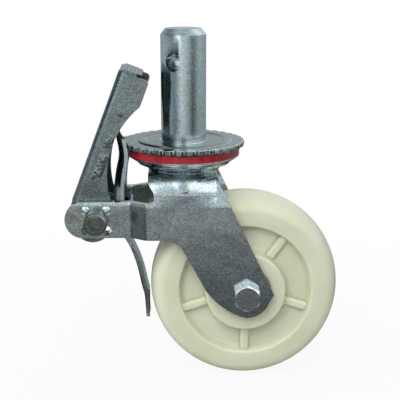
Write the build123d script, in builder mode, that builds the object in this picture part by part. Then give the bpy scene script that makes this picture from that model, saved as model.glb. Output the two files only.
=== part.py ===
"""Scaffold castor with a toothed swivel plate, a foot pedal and a double-acting brake lever.

Millimetres, +Z up.
The origin is on the swivel axis, at the top face of the toothed plate.
The wheel trails towards +X and the pedal stands on the -X side.
"""

import os
from math import atan2, cos, pi, radians, sin, sqrt, tan

from build123d import *

os.makedirs("parts", exist_ok=True)

# Running and seating clearances
running_gap = 0.08
seat_gap = 0.05
ball_gap = 0.3
face_gap = 0.9

# Stem, a turned bar whose reduced shank is the king pin
stem_radius = 17.5
stem_height = 86.0
stem_chamfer = 3.6
stem_chamfer_height = 4.5
cross_hole_radius = 6.2
cross_hole_height = 61.5
cross_hole_angle = 29.0
cross_hole_flare = 1.6
shank_radius = 8.0
shank_chamfer = 1.0
shank_stand_out = 1.7
stem_relief_width = 1.2
stem_relief_depth = 0.4

# Toothed plate
plate_radius = 47.2
plate_thickness = 3.5
tooth_count = 36
tooth_depth = 2.0
tooth_gap_width = 4.6
tooth_root_width = 1.2
bead_height = 1.2
bead_half_width = 4.0

# Ball races of the swivel
upper_ball_radius = 4.0
upper_ball_count = 12
upper_groove_depth = 1.2
lower_ball_radius = 3.0
lower_ball_count = 10
lower_race_radius = 15.0
lower_groove_depth = 0.9

# Race bowl and dust ring
bowl_overhang = 3.7
race_inset = 10.0
bowl_rim_depth = 11.2
bowl_shoulder_run = 3.5
bowl_shoulder_depth = 15.2
bowl_step_run = 2.5
bowl_step_depth = 17.0
bowl_foot_inset = 5.0
bowl_foot_height = 1.6
bowl_swell = 0.5
bowl_floor_thickness = 4.0
bowl_pocket_inset = 7.5
bowl_pocket_floor_inset = 10.5
ring_wall = 2.0
ring_rabbet = 0.7

# Fork, one pressed sheet
sheet = 5.0
crown_top = 21.5
crown_bend = 15.0
pad_margin = 1.5
pad_round = 0.8
pad_skirt = 13.0
leg_face = 37.0
neck_left = -27.5
neck_height = 12.0
waist_x = -22.9
waist_drop = 34.0
waist_bend = 8.0
notch_radius = 4.5
arm_face = 29.0
arm_drop = 57.05
arm_height = 28.5
arm_reach = 24.1
joggle_start = 29.5
joggle_end = 41.0
joggle_bend = 6.0
elbow_x = -5.6
elbow_radius = 16.0
back_slope = 61.8
back_length = 46.5
foot_bulge = 3.4
foot_radius = 18.7
foot_turn = 70.0
front_slope = 64.4
nose_step = 3.7
nose_rise = 6.7

# Wheel, one nylon moulding
wheel_radius = 75.0
wheel_width = 50.0
wheel_offset = 48.0
axle_drop = 116.5
tread_crown_radius = 57.0
shoulder_radius = 9.0
rim_lip_radius = 52.6
recess_depth = 7.5
recess_draft = 2.5
recess_fillet = 3.0
hub_radius = 31.2
hub_length = 58.6
hub_draft = 1.2
hub_round = 1.5
rib_count = 5
rib_width = 6.5
rib_setback = 3.0
rib_round = 2.0

# Wheel bearings and axle
bearing_radius = 20.0
bearing_width = 12.0
bearing_ring_wall = 2.8
bearing_ball_radius = 3.1
bearing_ball_count = 7
bearing_setback = 0.3
bore_step = 4.0
axle_radius = 6.0
axle_clearance = 0.1
sleeve_radius = 8.5
spacer_radius = 10.5
cap_radius = 19.6
cap_boss_radius = 11.0
cap_thickness = 1.5
cap_gap = 0.6
cap_dish = 4.0

# Hexagon and socket fasteners of the axle and the pivot
hex_across_flats = 19.0
hex_chamfer = 1.1
bolt_head_height = 8.0
nut_height = 10.8
washer_radius = 12.0
washer_thickness = 2.5
bolt_stand_out = 3.0
bolt_chamfer = 1.0
screw_head_radius = 9.0
screw_head_height = 12.0
screw_head_chamfer = 1.0
screw_socket_flats = 10.0
screw_socket_depth = 6.0

# King nut under the swivel
cup_radius = 21.5
cup_thickness = 4.0
cup_lip_width = 2.0
cup_lip_gap = 0.6
king_washer_radius = 14.0
king_washer_thickness = 2.0
king_nut_flats = 24.0
king_nut_height = 8.0

# Pedal, a folded channel on the arm pivot
pivot_x = -67.7
pivot_z = -57.4
pivot_sleeve_radius = 7.5
pedal_sheet = 3.0
pedal_side_gap = 0.5
pedal_bend = 5.0
pedal_lean = 21.0
pedal_length = 113.5
pedal_back = 22.8
pedal_head_depth = 24.2
pedal_head_foot = 93.4
pedal_waist_depth = 14.8
pedal_waist_height = 58.0
pedal_hip_depth = 28.4
pedal_hip_height = 16.9
pedal_lobe_radius = 14.5
pedal_lobe_x = -1.5
pedal_lobe_z = -5.3
pedal_lobe_start = -30.0
pedal_lobe_middle = 60.0
pedal_lobe_end = 135.0
pedal_web_foot = 10.0
pedal_corner = 3.0
tab_rise = 2.1
tab_end = -5.0
tab_corner = 5.0
tread_spacing = 3.0
tread_depth = 0.5
tread_count = 5
detent_spacing = 16.0
detent_radius = 3.6
detent_dome = 0.7
detent_mark_radius = 0.9
detent_seat_radius = 2.4

# Brake lever, with the place and the hollow of its inner face at each level
lever_sheet = 2.9
lever_half_width = 23.0
lever_foot_half_width = 10.0
lever_gap = 2.0
lever_flare = 0.8
lever_peak = 8.6
lever_near_shoulder = 5.0
lever_far_shoulder = -1.0
lever_far_step = 15.0
lever_top_round = 6.0
lever_pinch_drop = 9.5
lever_pinch = 1.3
lever_pinch_hollow = 5.9
lever_throat_run = 11.5
lever_throat_x = -49.9
lever_throat_hollow = 6.1
lever_chest_run = 12.0
lever_chest_x = -51.8
lever_chest_hollow = 6.5
lever_belly_rise = 13.0
lever_belly_x = -52.7
lever_belly_hollow = 7.2
lever_rivet_x = -49.0
lever_rivet_hollow = 3.05
lever_shoulder_run = 5.0
lever_neck_run = 11.0
lever_neck_x = -46.8
lever_neck_hollow = 1.6
lever_tongue_run = 12.0
lever_tongue_x = -42.4
lever_tongue_hollow = 5.2
lever_calf_run = 26.0
lever_calf_x = -34.0
lever_calf_hollow = 17.0
lever_heel_run = 12.0
lever_heel_x = -31.6
lever_heel_hollow = 20.0
lever_foot_run = 25.0
lever_foot_x = -28.2
lever_foot_hollow = 2.4
lever_foot_turn = 0.05
lever_band_count = 28
lever_foot_round = 4.0
lever_waist_round = 8.0

# Bridge, guide rivets and bow spring of the lever
bridge_x = -43.5
bridge_thickness = 3.0
bridge_height = 14.0
rivet_drop = 59.0
rivet_spacing = 16.0
rivet_radius = 2.5
rivet_head_x = -53.4
rivet_head_radius = 4.5
rivet_head_height = 2.2
spring_thickness = 0.8
spring_height = 8.0
spring_half_span = 16.0
spring_bow = 4.0
spring_gap = 0.3

# Levels and places that follow from the sizes above
bowl_radius = plate_radius - bowl_overhang
race_radius = bowl_radius - race_inset
bowl_foot_radius = race_radius - bowl_foot_inset
pad_radius = bowl_foot_radius + pad_margin
axle_place = (wheel_offset, 0, -axle_drop)
axle_line = Axis(axle_place, (0, 1, 0))
upper_ball_z = -plate_thickness + upper_groove_depth - upper_ball_radius - ball_gap
bowl_top = upper_ball_z - upper_ball_radius - ball_gap + upper_groove_depth
ring_seat = bowl_top - ring_rabbet
crown_under = -crown_top - sheet
lower_ball_z = crown_under + lower_groove_depth - lower_ball_radius - ball_gap
cup_top = lower_ball_z - lower_ball_radius - ball_gap + lower_groove_depth
cup_bottom = cup_top - cup_thickness
king_nut_top = cup_bottom - king_washer_thickness
king_nut_bottom = king_nut_top - king_nut_height
shank_end = king_nut_bottom - shank_stand_out
leg_inner = leg_face - sheet
arm_inner = arm_face - sheet
arm_top = arm_height / 2 - arm_drop
arm_bottom = -arm_height / 2 - arm_drop
arm_end = pivot_x - arm_reach
hub_face = hub_length / 2
bearing_outer_face = hub_face - bearing_setback
bearing_inner_face = bearing_outer_face - bearing_width
inner_ring_radius = sleeve_radius + bearing_ring_wall
outer_ring_radius = bearing_radius - bearing_ring_wall
bearing_pitch = (inner_ring_radius + outer_ring_radius) / 2
pedal_half_width = arm_inner - pedal_side_gap
pedal_inner = pedal_half_width - pedal_sheet
sides = {"near": -1, "far": 1}


def hex_block(flats, height):
    """A hexagon standing on its plane, its outer corners turned down to a chamfer."""
    corner = flats / sqrt(3)
    face = flats / 2 - hex_chamfer / 4
    with BuildPart(mode=Mode.PRIVATE) as block:
        with BuildSketch():
            RegularPolygon(flats / 2, 6, major_radius=False, rotation=30)
        extrude(amount=height)
        with BuildSketch(Plane.XZ):
            with BuildLine():
                Polyline(
                    (0, 0),
                    (corner, 0),
                    (corner, height - hex_chamfer),
                    (face, height),
                    (0, height),
                    close=True,
                )
            make_face()
        revolve(axis=Axis.Z, mode=Mode.INTERSECT)
    return block.part


# Stem with its shank
hole_direction = (-sin(radians(cross_hole_angle)), -cos(radians(cross_hole_angle)), 0)
hole_plane = Plane(
    origin=(0, 0, cross_hole_height),
    x_dir=hole_direction,
    z_dir=(-hole_direction[1], hole_direction[0], 0),
)
flare_start = stem_radius - cross_hole_flare
flare_end = stem_radius + cross_hole_flare
with BuildPart() as stem:
    with BuildSketch(Plane.XZ):
        with BuildLine():
            Polyline(
                (0, shank_end),
                (shank_radius - shank_chamfer, shank_end),
                (shank_radius, shank_end + shank_chamfer),
                (shank_radius, 0),
                (stem_radius, 0),
                (stem_radius, stem_height - stem_chamfer_height),
                (stem_radius - stem_chamfer, stem_height),
                (0, stem_height),
                close=True,
            )
        make_face()
    revolve(axis=Axis.Z)
    with BuildSketch(hole_plane):
        with BuildLine():
            Polyline(
                (-flare_end, 0),
                (-flare_end, cross_hole_radius + cross_hole_flare),
                (-flare_start, cross_hole_radius),
                (flare_start, cross_hole_radius),
                (flare_end, cross_hole_radius + cross_hole_flare),
                (flare_end, 0),
                close=True,
            )
        make_face()
    revolve(axis=Axis((0, 0, cross_hole_height), hole_direction), mode=Mode.SUBTRACT)
stem.part.label = "stem"
export_step(stem.part, "parts/stem.step")

# Toothed plate with its pressed race bead
with BuildPart() as toothed_plate:
    with BuildSketch(Plane.XY.offset(-plate_thickness)):
        Circle(plate_radius)
        with BuildSketch(mode=Mode.PRIVATE) as tooth_gap:
            with BuildLine():
                Polyline(
                    (plate_radius + tooth_depth, -tooth_gap_width),
                    (plate_radius - tooth_depth, -tooth_root_width / 2),
                    (plate_radius - tooth_depth, tooth_root_width / 2),
                    (plate_radius + tooth_depth, tooth_gap_width),
                    close=True,
                )
            make_face()
        with PolarLocations(0, tooth_count):
            add(tooth_gap.sketch, mode=Mode.SUBTRACT)
        Circle(shank_radius + seat_gap, mode=Mode.SUBTRACT)
    extrude(amount=plate_thickness)
    with BuildSketch(Plane.XZ):
        with BuildLine():
            ThreePointArc(
                (race_radius - bead_half_width, 0),
                (race_radius, bead_height),
                (race_radius + bead_half_width, 0),
            )
            Line((race_radius + bead_half_width, 0), (race_radius - bead_half_width, 0))
        make_face()
    revolve(axis=Axis.Z)
    with BuildSketch(Plane.XZ):
        with Locations((race_radius, upper_ball_z)):
            Circle(upper_ball_radius + ball_gap)
        # Relief groove round the shoulder of the stem
        with Locations((stem_radius + stem_relief_width / 2, 0)):
            Rectangle(stem_relief_width, 2 * stem_relief_depth)
    revolve(axis=Axis.Z, mode=Mode.SUBTRACT)
toothed_plate.part.label = "toothed_plate"
export_step(toothed_plate.part, "parts/toothed_plate.step")

# Upper balls between the toothed plate and the bowl
with BuildPart() as upper_balls:
    with Locations((0, 0, upper_ball_z)):
        with PolarLocations(race_radius, upper_ball_count):
            Sphere(upper_ball_radius)
upper_balls.part.label = "upper_balls"
export_step(upper_balls.part, "parts/upper_balls.step")

# Race bowl on the fork crown
bowl_shoulder = (race_radius + bowl_shoulder_run, -bowl_shoulder_depth)
bowl_flank = ((bowl_radius + bowl_shoulder[0] + bowl_swell) / 2, -(bowl_rim_depth + bowl_shoulder_depth) / 2)
bowl_step = (race_radius + bowl_step_run, -bowl_step_depth)
bowl_foot = (bowl_foot_radius, bowl_foot_height - crown_top)
bowl_hollow = ((bowl_step[0] + bowl_foot[0] - bowl_swell) / 2, (bowl_step[1] + bowl_foot[1]) / 2)
with BuildPart() as race_bowl:
    with BuildSketch(Plane.XZ):
        with BuildLine():
            Polyline(
                bowl_foot,
                (bowl_foot_radius, -crown_top),
                (shank_radius + running_gap, -crown_top),
                (shank_radius + running_gap, bowl_floor_thickness - crown_top),
                (race_radius - bowl_pocket_floor_inset, bowl_floor_thickness - crown_top),
                (race_radius - bowl_pocket_inset, bowl_top),
                (bowl_radius - ring_wall - seat_gap, bowl_top),
                (bowl_radius - ring_wall - seat_gap, ring_seat),
                (bowl_radius, ring_seat),
                (bowl_radius, -bowl_rim_depth),
            )
            ThreePointArc((bowl_radius, -bowl_rim_depth), bowl_flank, bowl_shoulder)
            Line(bowl_shoulder, bowl_step)
            ThreePointArc(bowl_step, bowl_hollow, bowl_foot)
        make_face()
        with Locations((race_radius, upper_ball_z)):
            Circle(upper_ball_radius + ball_gap, mode=Mode.SUBTRACT)
    revolve(axis=Axis.Z)
race_bowl.part.label = "race_bowl"
export_step(race_bowl.part, "parts/race_bowl.step")

# Dust ring round the balls
with BuildPart() as dust_ring:
    with BuildSketch(Plane.XY.offset(ring_seat)):
        Circle(bowl_radius)
        Circle(bowl_radius - ring_wall, mode=Mode.SUBTRACT)
    extrude(amount=-plate_thickness - face_gap - ring_seat)
    chamfer(dust_ring.edges().group_by(Axis.Z)[-1].sort_by(SortBy.LENGTH)[-1], ring_wall / 4)
dust_ring.part.label = "dust_ring"
export_step(dust_ring.part, "parts/dust_ring.step")

# Fork: crown, two legs and two arms pressed from one sheet
joggle_angle = atan2(leg_face - arm_face, joggle_end - joggle_start)
channel_start = joggle_bend * tan(joggle_angle / 2) - joggle_start
neck_foot = -crown_top - neck_height / 2
slope_cos = cos(radians(back_slope))
slope_sin = sin(radians(back_slope))
back_foot = (elbow_x + back_length * slope_cos, arm_bottom - back_length * slope_sin)
foot_low = (wheel_offset, -axle_drop - foot_radius)
foot_middle = (
    (back_foot[0] + foot_low[0]) / 2 - foot_bulge * slope_cos,
    (back_foot[1] + foot_low[1]) / 2 - foot_bulge * slope_sin,
)


def foot_point(turn):
    """A point of the rounded foot, turned from its lowest point about the axle."""
    angle = radians(turn)
    return (wheel_offset + foot_radius * sin(angle), -axle_drop - foot_radius * cos(angle))


nose = foot_point(foot_turn)
nose_corner = (nose[0] + nose_step, nose[1] + nose_rise)
front_top = (nose_corner[0] + nose_corner[1] / tan(radians(front_slope)), 0)
pad_foot = -crown_top - pad_skirt
with BuildPart() as fork:
    # Channel of crown and legs, with a round pad drawn up under the bowl
    with BuildSketch(Plane.YZ.offset(channel_start)) as channel:
        with Locations((0, -crown_top)):
            Rectangle(2 * leg_face, 2 * axle_drop, align=(Align.CENTER, Align.MAX))
        fillet(channel.vertices().group_by(Axis.Y)[-1], crown_bend)
    extrude(amount=2 * wheel_offset - channel_start)
    with BuildSketch(Plane.XZ):
        with BuildLine():
            Polyline(
                (leg_face, pad_foot),
                (0, pad_foot),
                (0, -crown_top),
                (pad_radius - pad_round, -crown_top),
                (pad_radius, -crown_top - pad_round),
            )
            TangentArc((leg_face, pad_foot), (pad_radius, -crown_top - pad_round), tangent=(0, 1))
        make_face()
    revolve(axis=Axis.Z)
    with BuildSketch(Plane.YZ.offset(channel_start)) as channel_inside:
        with Locations((0, crown_under)):
            Rectangle(2 * leg_inner, 2 * axle_drop, align=(Align.CENTER, Align.MAX))
        fillet(channel_inside.vertices().group_by(Axis.Y)[-1], crown_bend - sheet)
    extrude(amount=2 * wheel_offset - channel_start, mode=Mode.SUBTRACT)
    with BuildSketch(Plane.XZ):
        with BuildLine():
            Polyline(
                (leg_inner, pad_foot),
                (0, pad_foot),
                (0, crown_under),
                (pad_radius - sheet, crown_under),
            )
            TangentArc((leg_inner, pad_foot), (pad_radius - sheet, crown_under), tangent=(0, 1))
        make_face()
    revolve(axis=Axis.Z, mode=Mode.SUBTRACT)
    # Arms that step in from the legs
    with BuildSketch(Plane.XY.offset(-2 * arm_drop)) as arms:
        with BuildSketch(mode=Mode.PRIVATE) as arm:
            with BuildLine():
                outside = FilletPolyline(
                    (channel_start + sheet, -leg_face),
                    (-joggle_start, -leg_face),
                    (-joggle_end, -arm_face),
                    (arm_end - sheet, -arm_face),
                    radius=joggle_bend,
                )
                inside = FilletPolyline(
                    (channel_start + sheet, -leg_inner),
                    (-joggle_start, -leg_inner),
                    (-joggle_end, -arm_inner),
                    (arm_end - sheet, -arm_inner),
                    radius=joggle_bend,
                )
                Line(outside @ 0, inside @ 0)
                Line(outside @ 1, inside @ 1)
            make_face()
        add(arm.sketch)
        mirror(arm.sketch, about=Plane.XZ)
    extrude(amount=2 * arm_drop + arm_top + notch_radius)
    # Side outline of the blank
    with BuildSketch(Plane.XZ):
        with BuildLine():
            rear = FilletPolyline(
                (neck_left, 0),
                (neck_left, neck_foot),
                (waist_x, -waist_drop),
                (waist_x, arm_top),
                (arm_end, arm_top),
                (arm_end, arm_bottom),
                (elbow_x, arm_bottom),
                back_foot,
                radius=[
                    waist_bend,
                    waist_bend,
                    notch_radius,
                    0.49 * arm_height,
                    0.49 * arm_height,
                    elbow_radius,
                ],
            )
            ThreePointArc(back_foot, foot_middle, foot_low)
            ThreePointArc(foot_low, foot_point(foot_turn / 2), nose)
            Line(nose, nose_corner)
            Polyline(nose_corner, front_top, (neck_left, 0))
        make_face()
    extrude(amount=leg_face + sheet, both=True, mode=Mode.INTERSECT)
    # Holes for the axle, the pivot screw and the detents
    with BuildSketch(Plane.XZ):
        with Locations((wheel_offset, -axle_drop), (pivot_x, pivot_z)):
            Circle(axle_radius + axle_clearance)
        with Locations((pivot_x, pivot_z)):
            with GridLocations(detent_spacing, detent_spacing, 2, 2):
                Circle(detent_radius)
    extrude(amount=leg_face + sheet, both=True, mode=Mode.SUBTRACT)
    # King pin hole and lower race
    with BuildSketch(Plane.XY):
        Circle(shank_radius + running_gap)
    extrude(amount=2 * crown_under, mode=Mode.SUBTRACT)
    with BuildSketch(Plane.XZ):
        with Locations((lower_race_radius, lower_ball_z)):
            Circle(lower_ball_radius + ball_gap)
    revolve(axis=Axis.Z, mode=Mode.SUBTRACT)
fork.part.label = "fork"
export_step(fork.part, "parts/fork.step")

# Lower balls under the crown
with BuildPart() as lower_balls:
    with Locations((0, 0, lower_ball_z)):
        with PolarLocations(lower_race_radius, lower_ball_count):
            Sphere(lower_ball_radius)
lower_balls.part.label = "lower_balls"
export_step(lower_balls.part, "parts/lower_balls.step")

# Lower cup that the king nut holds up
with BuildPart() as lower_cup:
    with BuildSketch(Plane.XZ):
        with BuildLine():
            Polyline(
                (shank_radius + seat_gap, cup_bottom),
                (cup_radius - cup_lip_width, cup_bottom),
                (cup_radius, cup_bottom + cup_lip_width),
                (cup_radius, crown_under - cup_lip_gap),
                (cup_radius - cup_lip_width, crown_under - cup_lip_gap),
                (cup_radius - cup_lip_width, cup_top),
                (shank_radius + seat_gap, cup_top),
                close=True,
            )
        make_face()
        with Locations((lower_race_radius, lower_ball_z)):
            Circle(lower_ball_radius + ball_gap, mode=Mode.SUBTRACT)
    revolve(axis=Axis.Z)
lower_cup.part.label = "lower_cup"
export_step(lower_cup.part, "parts/lower_cup.step")

# King washer and king nut
with BuildPart() as king_washer:
    with BuildSketch(Plane.XY.offset(king_nut_top)):
        Circle(king_washer_radius)
        Circle(shank_radius + seat_gap, mode=Mode.SUBTRACT)
    extrude(amount=king_washer_thickness)
king_washer.part.label = "king_washer"
export_step(king_washer.part, "parts/king_washer.step")

with BuildPart() as king_nut:
    add(Plane(origin=(0, 0, king_nut_top), z_dir=(0, 0, -1)) * hex_block(king_nut_flats, king_nut_height))
    with BuildSketch(Plane.XY.offset(king_nut_bottom)):
        Circle(shank_radius + seat_gap)
    extrude(amount=king_nut_height, mode=Mode.SUBTRACT)
king_nut.part.label = "king_nut"
export_step(king_nut.part, "parts/king_nut.step")

# Wheel: crowned tread, recessed web with ribs, long hub
half_width = wheel_width / 2
tread_edge = wheel_radius - tread_crown_radius + sqrt(tread_crown_radius**2 - half_width**2)
web_face = half_width - recess_depth
bore_radius = bearing_radius - bore_step
wheel_plane = Plane(origin=axle_place, x_dir=(0, 1, 0), z_dir=(1, 0, 0))
rib_planes = []
for rib_index in range(rib_count):
    rib_angle = 2 * pi * rib_index / rib_count
    rib_line = Vector(sin(rib_angle), 0, -cos(rib_angle))
    rib_root = Vector(*axle_place) + rib_line * (hub_radius - hub_draft)
    rib_planes.append(Plane(origin=rib_root, x_dir=(0, 1, 0), z_dir=rib_line))
with BuildPart() as wheel:
    with BuildSketch(wheel_plane) as wheel_half:
        with BuildLine():
            Line((0, bore_radius), (0, wheel_radius))
            RadiusArc((0, wheel_radius), (half_width, tread_edge), tread_crown_radius)
            FilletPolyline(
                (half_width, tread_edge),
                (half_width, rim_lip_radius),
                (web_face, rim_lip_radius - recess_draft),
                (web_face, hub_radius + hub_draft),
                (hub_face, hub_radius),
                (hub_face, bearing_radius),
                radius=[hub_round, recess_fillet, recess_fillet, hub_round],
            )
            Polyline(
                (hub_face, bearing_radius),
                (bearing_inner_face, bearing_radius),
                (bearing_inner_face, bore_radius),
                (0, bore_radius),
            )
        make_face()
        fillet(wheel_half.vertices().sort_by(Axis.Y)[-2], shoulder_radius)
        mirror(about=Plane.YZ)
    revolve(axis=axle_line)
    with BuildSketch(*rib_planes):
        RectangleRounded(2 * (half_width - rib_setback), rib_width, rib_round)
    extrude(amount=rim_lip_radius - hub_radius + hub_draft)
wheel.part.label = "wheel"
export_step(wheel.part, "parts/wheel.step")

# Bearings of the wheel, one at each end of the hub
bearing_centre = (bearing_inner_face + bearing_outer_face) / 2
for side, sign in sides.items():
    bearing_plane = Plane(origin=axle_place, x_dir=(0, sign, 0), z_dir=(sign, 0, 0))
    race_places = {
        "outer": (outer_ring_radius, bearing_radius),
        "inner": (sleeve_radius, inner_ring_radius),
    }
    for race, (inside_radius, outside_radius) in race_places.items():
        with BuildPart() as bearing_ring:
            with BuildSketch(bearing_plane):
                with BuildLine():
                    Polyline(
                        (bearing_inner_face, inside_radius),
                        (bearing_outer_face, inside_radius),
                        (bearing_outer_face, outside_radius),
                        (bearing_inner_face, outside_radius),
                        close=True,
                    )
                make_face()
                with Locations((bearing_centre, bearing_pitch)):
                    Circle(bearing_ball_radius + ball_gap, mode=Mode.SUBTRACT)
            revolve(axis=axle_line)
        bearing_ring.part.label = f"bearing_{race}_{side}"
        export_step(bearing_ring.part, f"parts/bearing_{race}_{side}.step")

    with BuildPart() as bearing_balls:
        ball_plane = Plane(origin=axle_place, x_dir=(1, 0, 0), z_dir=(0, sign, 0))
        with Locations(ball_plane.offset(bearing_centre)):
            with PolarLocations(bearing_pitch, bearing_ball_count):
                Sphere(bearing_ball_radius)
    bearing_balls.part.label = f"bearing_balls_{side}"
    export_step(bearing_balls.part, f"parts/bearing_balls_{side}.step")

    # Dust cap between the hub and the leg, its boss on the inner ring
    with BuildPart() as dust_cap:
        with BuildSketch(bearing_plane):
            with BuildLine():
                Polyline(
                    (bearing_outer_face, sleeve_radius),
                    (bearing_outer_face, cap_boss_radius),
                    (hub_face + cap_gap, cap_boss_radius),
                    (hub_face + cap_gap, cap_radius),
                    (hub_face + cap_gap + cap_thickness, cap_radius),
                    (leg_inner, cap_radius - cap_dish),
                    (leg_inner, sleeve_radius),
                    close=True,
                )
            make_face()
        revolve(axis=axle_line)
    dust_cap.part.label = f"dust_cap_{side}"
    export_step(dust_cap.part, f"parts/dust_cap_{side}.step")

# Spacer between the inner rings
with BuildPart() as bearing_spacer:
    with BuildSketch(Plane.XZ):
        with Locations((wheel_offset, -axle_drop)):
            Circle(spacer_radius)
            Circle(sleeve_radius, mode=Mode.SUBTRACT)
    extrude(amount=bearing_inner_face, both=True)
bearing_spacer.part.label = "bearing_spacer"
export_step(bearing_spacer.part, "parts/bearing_spacer.step")

# Sleeve on the axle, clamped between the legs
with BuildPart() as axle_sleeve:
    with BuildSketch(Plane.XZ):
        with Locations((wheel_offset, -axle_drop)):
            Circle(sleeve_radius)
            Circle(axle_radius + axle_clearance, mode=Mode.SUBTRACT)
    extrude(amount=leg_inner, both=True)
axle_sleeve.part.label = "axle_sleeve"
export_step(axle_sleeve.part, "parts/axle_sleeve.step")

# Axle bolt, its head on the near leg
bolt_end = leg_face + washer_thickness + nut_height + bolt_stand_out
with BuildPart() as axle_bolt:
    with BuildSketch(wheel_plane):
        with BuildLine():
            Polyline(
                (-leg_face, 0),
                (-leg_face, axle_radius),
                (bolt_end - bolt_chamfer, axle_radius),
                (bolt_end, axle_radius - bolt_chamfer),
                (bolt_end, 0),
                close=True,
            )
        make_face()
    revolve(axis=axle_line)
    head_plane = Plane(origin=axle_place, x_dir=(1, 0, 0), z_dir=(0, -1, 0)).offset(leg_face)
    add(head_plane * hex_block(hex_across_flats, bolt_head_height))
axle_bolt.part.label = "axle_bolt"
export_step(axle_bolt.part, "parts/axle_bolt.step")

# Washers and nuts on the far side of the axle and of the pivot screw
pivot_place = (pivot_x, 0, pivot_z)
fastened = {"axle": (axle_place, leg_face), "pivot": (pivot_place, arm_face)}
for name, (place, face) in fastened.items():
    far_plane = Plane(origin=place, x_dir=(1, 0, 0), z_dir=(0, 1, 0)).offset(face)
    with BuildPart() as washer:
        with BuildSketch(far_plane):
            Circle(washer_radius)
            Circle(axle_radius + axle_clearance, mode=Mode.SUBTRACT)
        extrude(amount=washer_thickness)
    washer.part.label = f"{name}_washer"
    export_step(washer.part, f"parts/{name}_washer.step")

    with BuildPart() as nut:
        add(far_plane.offset(washer_thickness) * hex_block(hex_across_flats, nut_height))
        with BuildSketch(far_plane):
            Circle(axle_radius + seat_gap)
        extrude(amount=washer_thickness + nut_height, mode=Mode.SUBTRACT)
    nut.part.label = f"{name}_nut"
    export_step(nut.part, f"parts/{name}_nut.step")

# Pivot screw with a socket head on the near arm
screw_end = arm_face + washer_thickness + nut_height + bolt_stand_out
head_face = arm_face + screw_head_height
pivot_plane = Plane(origin=pivot_place, x_dir=(0, 1, 0), z_dir=(1, 0, 0))
with BuildPart() as pivot_screw:
    with BuildSketch(pivot_plane):
        with BuildLine():
            Polyline(
                (-head_face, 0),
                (-head_face, screw_head_radius - screw_head_chamfer),
                (screw_head_chamfer - head_face, screw_head_radius),
                (-arm_face, screw_head_radius),
                (-arm_face, axle_radius),
                (screw_end - bolt_chamfer, axle_radius),
                (screw_end, axle_radius - bolt_chamfer),
                (screw_end, 0),
                close=True,
            )
        make_face()
    revolve(axis=Axis(pivot_place, (0, 1, 0)))
    with BuildSketch(Plane(origin=pivot_place, x_dir=(1, 0, 0), z_dir=(0, -1, 0)).offset(head_face)):
        RegularPolygon(screw_socket_flats / 2, 6, major_radius=False)
    extrude(amount=-screw_socket_depth, mode=Mode.SUBTRACT)
pivot_screw.part.label = "pivot_screw"
export_step(pivot_screw.part, "parts/pivot_screw.step")

# Sleeve that keeps the arms apart and carries the pedal
with BuildPart() as pivot_sleeve:
    with BuildSketch(Plane.XZ):
        with Locations((pivot_x, pivot_z)):
            Circle(pivot_sleeve_radius)
            Circle(axle_radius + axle_clearance, mode=Mode.SUBTRACT)
    extrude(amount=arm_inner, both=True)
pivot_sleeve.part.label = "pivot_sleeve"
export_step(pivot_sleeve.part, "parts/pivot_sleeve.step")

# Detent plungers in the upper holes of both arms
dome_foot = sheet - detent_dome
plunger_places = []
for sign in sides.values():
    for step in (-detent_spacing / 2, detent_spacing / 2):
        place = (pivot_x + step, sign * arm_inner, pivot_z + detent_spacing / 2)
        plunger_places.append(Plane(origin=place, z_dir=(0, sign, 0)))
with BuildPart(mode=Mode.PRIVATE) as plunger:
    with BuildSketch(Plane.XZ):
        with BuildLine():
            Polyline((0, sheet), (0, 0), (detent_radius, 0), (detent_radius, dome_foot))
            TangentArc((0, sheet), (detent_radius, dome_foot), tangent=(1, 0))
        make_face()
        with Locations((0, sheet)):
            Circle(detent_mark_radius, mode=Mode.SUBTRACT)
    revolve(axis=Axis.Z)
with BuildPart() as detent_plungers:
    with Locations(*plunger_places):
        add(plunger.part)
detent_plungers.part.label = "detent_plungers"
export_step(detent_plungers.part, "parts/detent_plungers.step")

# Pedal: channel section along the lean, cut to its side outline
lean = radians(pedal_lean)
lean_out = (cos(lean), 0, -sin(lean))
lean_up = (sin(lean), 0, cos(lean))
pedal_side = Plane(origin=pivot_place, x_dir=lean_out, z_dir=(0, -1, 0))
pedal_section = Plane(origin=pivot_place, x_dir=lean_out, z_dir=lean_up)
cheek_depth = 2 * pedal_back
web_inside = pedal_sheet - pedal_back


def lobe_point(turn):
    """A point of the rounded foot of the pedal, turned from the +X side downwards."""
    angle = radians(turn)
    return (
        pedal_lobe_x + pedal_lobe_radius * cos(angle),
        pedal_lobe_z - pedal_lobe_radius * sin(angle),
    )


lobe_start = lobe_point(pedal_lobe_start)
lobe_end = lobe_point(pedal_lobe_end)
head_front = pedal_head_depth - pedal_back
waist = (pedal_waist_depth - pedal_back, pedal_waist_height)
hip = (pedal_hip_depth - pedal_back, pedal_hip_height)
tab_top = pedal_length + tab_rise
tab_half_width = pedal_inner - pedal_side_gap
tab_middle = (tab_end - pedal_back + pedal_bend) / 2

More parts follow.
